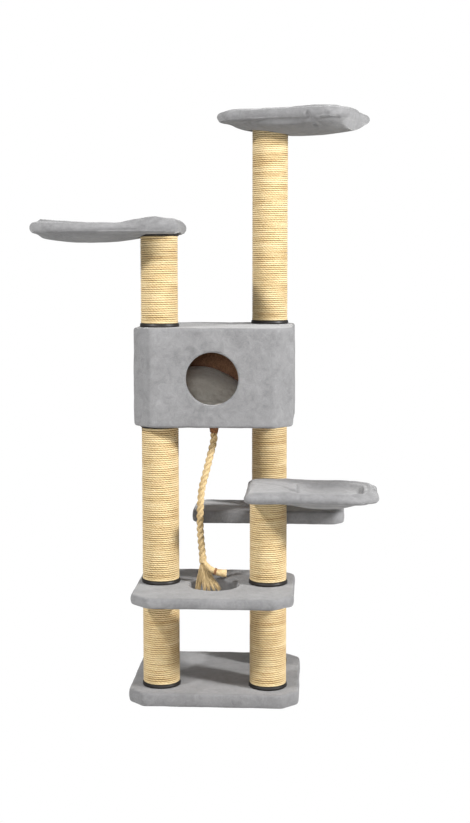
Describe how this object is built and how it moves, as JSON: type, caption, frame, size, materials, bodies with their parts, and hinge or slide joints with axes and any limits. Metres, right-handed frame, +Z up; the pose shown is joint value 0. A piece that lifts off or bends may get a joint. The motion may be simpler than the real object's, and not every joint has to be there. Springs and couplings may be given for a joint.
{
  "type": "cat tree",
  "caption": "Tall cat tree: sisal-wound posts with plush boards, a closed house with a round doorway, slung perches and a hanging play rope.",
  "frame": {"origin": "on the floor under the middle of the whole tree's box; the base's own middle is 20 mm to +X and 23 mm to +Y of it", "axes": "+Z up, +X to the right of the doorway side, the doorway faces -Y"},
  "size_m": [1.091, 0.6802, 1.908],
  "materials": {
    "plush": "short-pile plush",
    "sisal": "wound sisal cord",
    "rope": "twisted sisal rope",
    "binding": "brown bound knot",
    "black_plastic": "satin black",
    "cardboard_tube": "raw",
    "board": "raw chipboard",
    "steel": "zinc plated"
  },
  "bodies": {
    "frame": {"post_a_low_tube": "cardboard_tube", "post_a_low_sisal": "sisal", "post_a_low_lower_ring": "black_plastic", "post_a_low_upper_ring": "black_plastic", "post_a_middle_tube": "cardboard_tube", "post_a_middle_sisal": "sisal", "post_a_middle_lower_ring": "black_plastic", "post_a_middle_upper_ring": "black_plastic", "post_a_high_tube": "cardboard_tube", "post_a_high_sisal": "sisal", "post_a_high_lower_ring": "black_plastic", "post_a_high_upper_ring": "black_plastic", "post_b_low_tube": "cardboard_tube", "post_b_low_sisal": "sisal", "post_b_low_lower_ring": "black_plastic", "post_b_low_upper_ring": "black_plastic", "post_b_high_tube": "cardboard_tube", "post_b_high_sisal": "sisal", "post_b_high_lower_ring": "black_plastic", "post_b_high_upper_ring": "black_plastic", "post_c_low_tube": "cardboard_tube", "post_c_low_sisal": "sisal", "post_c_low_lower_ring": "black_plastic", "post_c_low_upper_ring": "black_plastic", "post_c_middle_tube": "cardboard_tube", "post_c_middle_sisal": "sisal", "post_c_middle_lower_ring": "black_plastic", "post_c_middle_upper_ring": "black_plastic", "post_c_high_tube": "cardboard_tube", "post_c_high_sisal": "sisal", "post_c_high_lower_ring": "black_plastic", "post_c_high_upper_ring": "black_plastic", "rod_a_low": "steel", "rod_a_high": "steel", "rod_b": "steel", "rod_c_low": "steel", "rod_c_high": "steel", "base_board": "board", "base_cover": "plush", "platform_board": "board", "platform_cover": "plush", "rear_shelf_board": "board", "rear_shelf_cover": "plush", "house_floor": "board", "house_roof": "board", "house_front_wall": "board", "house_back_wall": "board", "house_left_wall": "board", "house_right_wall": "board", "house_cover": "plush", "house_cushion": "plush"},
    "left_perch": {"left_perch_board": "board", "left_perch_sling": "plush"},
    "front_perch": {"front_perch_board": "board", "front_perch_sling": "plush"},
    "top_perch": {"top_perch_board": "board", "top_perch_sling": "plush"},
    "rope_pivot": {"rope_knot": "binding"},
    "rope": {"hanging_rope": "rope", "rope_tassel": "rope"}
  },
  "joints": [
    {"name": "left_perch_swivel", "type": "hinge", "parent": "frame", "child": "left_perch", "pos_m": [-0.1535, -0.1111, 1.509], "axis": [0, 0, 1], "range_deg": [-60, 60]},
    {"name": "front_perch_swivel", "type": "hinge", "parent": "frame", "child": "front_perch", "pos_m": [0.1935, -0.1111, 0.674], "axis": [0, 0, 1], "range_deg": [-60, 15]},
    {"name": "top_perch_swivel", "type": "hinge", "parent": "frame", "child": "top_perch", "pos_m": [0.188, 0.1509, 1.872], "axis": [0, 0, 1], "range_deg": [-90, 90]},
    {"name": "rope_fore_aft", "type": "hinge", "parent": "frame", "child": "rope_pivot", "pos_m": [0.02, -0.1171, 0.9028], "axis": [1, 0, 0], "range_deg": [-1, 1]},
    {"name": "rope_side", "type": "hinge", "parent": "rope_pivot", "child": "rope", "pos_m": [0.02, -0.1171, 0.9028], "axis": [0, 1, 0], "range_deg": [-1, 1]}
  ]
}
